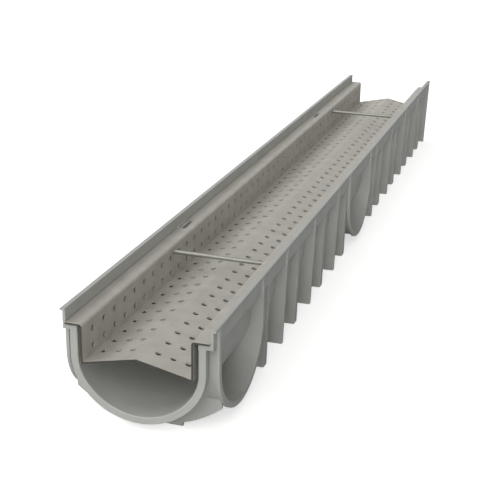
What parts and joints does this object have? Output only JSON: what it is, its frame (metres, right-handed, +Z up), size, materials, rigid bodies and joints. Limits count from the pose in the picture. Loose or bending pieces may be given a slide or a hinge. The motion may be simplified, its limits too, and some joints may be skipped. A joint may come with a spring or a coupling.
{
  "type": "channel drain",
  "caption": "Linear channel drain: ribbed moulded trough with U-shaped side outlets, and a folded perforated sheet insert with cross rods.",
  "frame": {"origin": "under the middle of the trough, on its centre line, at the level of its feet", "axes": "+Y along the drain, away from the end with the first side outlets; +Z up; +X across, to the right seen from that end"},
  "size_m": [0.1284, 1.002, 0.0967],
  "materials": {
    "trough": "moulded, slightly satin",
    "sheet": "rolled sheet, satin",
    "rod": "drawn"
  },
  "bodies": {
    "root": {"trough_body": "trough", "perforated_insert": "sheet", "cross_rod_front": "rod", "cross_rod_rear": "rod"}
  },
  "joints": []
}
